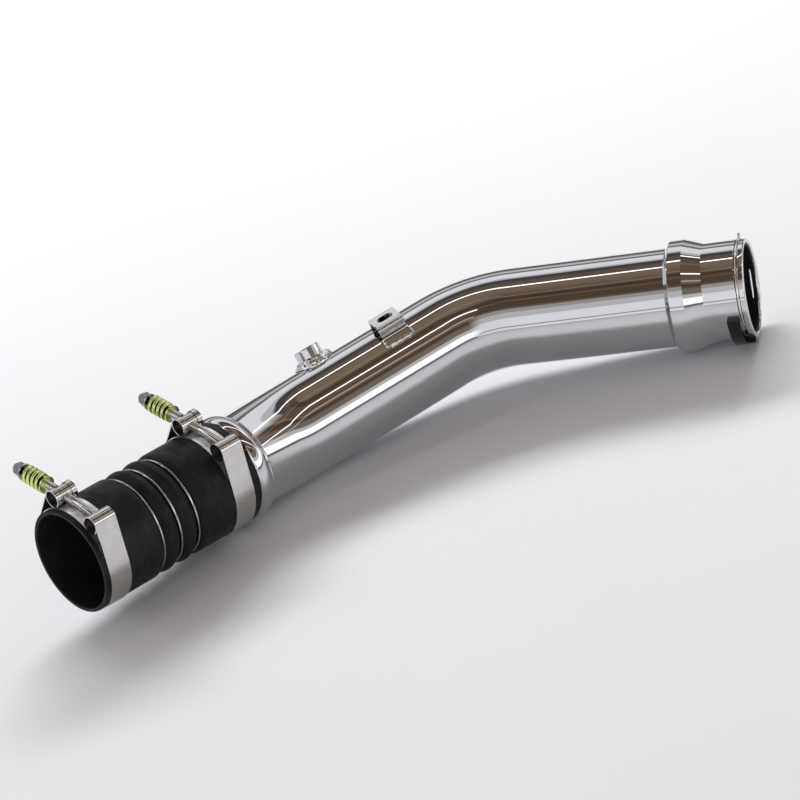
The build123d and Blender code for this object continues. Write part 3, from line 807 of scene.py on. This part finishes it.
# Elevation in degrees where each colour starts
walls = {
    "front": [
        (-90, "floor"), (-1, "grey"), (3.5, "white"), (16, "silver"), (23, "lightBrown"), (29, "grey"),
        (33, "brown"), (36, "darkBrown"), (42, "lightBrown"), (45, "brown"), (65, "darkBrown"),
        (74, "lightBrown"),
    ],
    "left": [
        (-90, "floor"), (-1, "bright"), (4.5, "steelGrey"), (7, "bright"), (26, "silver"),
        (38, "steelGrey"), (46, "brown"), (50, "darkBrown"), (62, "brown"), (66, "darkBrown"),
        (74, "brown"),
    ],
    "rear": [
        (-90, "floor"), (-1, "darkGrey"), (6, "grey"), (15, "silver"), (25, "grey"), (31, "bright"),
        (46, "silver"), (51, "darkGrey"), (61, "brown"), (77, "lightBrown"),
    ],
}
# Ceiling strips along X: place across, half width, brightness and start (-9 runs the whole way)
strips = [
    (0.28, 0.026, 2.2, -9),
    (-0.10, 0.012, 0.14, -9),
    (-0.21, 0.010, -0.05, -9),
    (-0.35, 0.008, -0.05, -9),
    (-0.515, 0.026, 2.2, -0.15),
    (-0.70, 0.010, -0.05, -9),
    (-0.885, 0.030, 0.5, -0.15),
]


def buildWorld():
    world = bpy.data.worlds.new("studioRoom")
    bpy.context.scene.world = world
    world.use_nodes = True
    tree = world.node_tree
    tree.nodes.clear()
    coords = addNode(tree, "ShaderNodeTexCoord")
    split = addNode(tree, "ShaderNodeSeparateXYZ")
    tree.links.new(coords.outputs["Generated"], split.inputs["Vector"])

    def maths(operation, a, b=None, clamp=False):
        node = addNode(tree, "ShaderNodeMath", operation=operation, use_clamp=clamp)
        for socket, value in zip(node.inputs, (a, b)):
            if isinstance(value, (int, float)):
                socket.default_value = value
            elif value is not None:
                tree.links.new(value, socket)
        return node.outputs[0]

    def mixColour(amount, a, b, blend="MIX"):
        node = addNode(tree, "ShaderNodeMixRGB", blend_type=blend)
        for socket, value in zip(node.inputs, (amount, a, b)):
            if isinstance(value, (int, float)):
                socket.default_value = value
            else:
                tree.links.new(value, socket)
        return node.outputs[0]

    x, y, z = split.outputs
    height = maths("MULTIPLY", maths("ADD", z, 1.0), 0.5)

    def wall(bands):
        ramp = addNode(tree, "ShaderNodeValToRGB")
        stops = []
        ends = [elevation for elevation, colour in bands[1:]] + [90]
        for (elevation, colour), end in zip(bands, ends):
            stops += [(elevation + room["edge"], colour), (end, colour)]
        elements = ramp.color_ramp.elements
        for index, (elevation, colour) in enumerate(stops):
            position = (sin(radians(elevation)) + 1) / 2
            element = elements[index] if index < 2 else elements.new(position)
            element.position = position
            element.color = (*room[colour], 1)
        tree.links.new(height, ramp.inputs["Fac"])
        return ramp.outputs["Color"]

    leftward = maths("SUBTRACT", room["leftFrom"], x)
    toLeft = maths("MULTIPLY", leftward, room["leftBlend"], clamp=True)
    toRear = maths("MULTIPLY", y, room["rearBlend"], clamp=True)
    colour = mixColour(toLeft, wall(walls["front"]), wall(walls["left"]))
    colour = mixColour(toRear, colour, wall(walls["rear"]))
    overhead = maths("GREATER_THAN", z, room["ceilingFrom"])
    ceiling = maths("MAXIMUM", z, room["leastRise"])
    across = maths("DIVIDE", y, ceiling)
    along = maths("DIVIDE", x, ceiling)
    for place, halfWidth, strength, start in strips:
        inside = maths("LESS_THAN", maths("ABSOLUTE", maths("SUBTRACT", across, place)), halfWidth)
        started = maths("MULTIPLY", maths("GREATER_THAN", along, start), overhead)
        glow = maths("MULTIPLY", maths("MULTIPLY", inside, started), strength)
        strip = addNode(tree, "ShaderNodeCombineXYZ")
        for socket in strip.inputs:
            tree.links.new(glow, socket)
        colour = mixColour(1.0, colour, strip.outputs[0], "ADD")
    background = addNode(tree, "ShaderNodeBackground")
    output = addNode(tree, "ShaderNodeOutputWorld")
    tree.links.new(colour, background.inputs["Color"])
    tree.links.new(background.outputs[0], output.inputs[0])


buildWorld()

# Floor, lamp and camera
floorPaint = {
    "radius": 60.0,
    "segments": 96,
    "specular": 0.2,
    "grainScale": 3,
    "roughness": (0.8, 0.95),
    "colour": (0.755, 0.765, 0.795),
    "shade": 0.985,
}
keyLamp = {
    "place": (0.84, 3.96, 2.94),
    "aim": (0, 0, 0.05),
    "size": (5.0, 1.0),
    "power": 318.0,
}
cameraPlace = {
    "position": (-0.48511, -2.43629, 1.27020),
    "right": (0.903720, -0.322348, -0.281750),
    "up": (0.390363, 0.350179, 0.851464),
    "fieldOfView": 12.5247,
    "clipEnd": 50,
}


def buildFloor():
    deselectAll()
    bpy.ops.mesh.primitive_circle_add(
        vertices=floorPaint["segments"], radius=floorPaint["radius"], fill_type="NGON"
    )
    floor = bpy.context.object
    floor.name = "floor"
    material = newMaterial("floorPaint", Specular_IOR_Level=floorPaint["specular"])
    noise = addGrain(material, floorPaint["grainScale"], *floorPaint["roughness"])
    shaded = [c * floorPaint["shade"] for c in floorPaint["colour"]]
    addTint(material, noise, floorPaint["colour"], shaded)
    floor.data.materials.append(material)


def buildLamp():
    lamp = bpy.data.lights.new("keyLamp", "AREA")
    lamp.shape = "RECTANGLE"
    lamp.size, lamp.size_y = keyLamp["size"]
    lamp.energy = keyLamp["power"]
    holder = bpy.data.objects.new("keyLamp", lamp)
    bpy.context.scene.collection.objects.link(holder)
    place = Vector(keyLamp["place"])
    holder.location = place
    holder.visible_glossy = False  # the room alone shows in the polished metal
    holder.rotation_euler = (Vector(keyLamp["aim"]) - place).to_track_quat("-Z", "Y").to_euler()


def buildCamera():
    data = bpy.data.cameras.new("camera")
    data.sensor_fit = "HORIZONTAL"
    data.angle = radians(cameraPlace["fieldOfView"])
    data.clip_end = cameraPlace["clipEnd"]
    camera = bpy.data.objects.new("camera", data)
    bpy.context.scene.collection.objects.link(camera)
    right, up = Vector(cameraPlace["right"]), Vector(cameraPlace["up"])
    turn = Matrix((right, up, right.cross(up))).transposed().to_4x4()
    camera.matrix_world = Matrix.Translation(cameraPlace["position"]) @ turn
    bpy.context.scene.camera = camera


buildFloor()
buildLamp()
buildCamera()
bpy.context.scene.view_settings.view_transform = "Standard"
print("studio made")
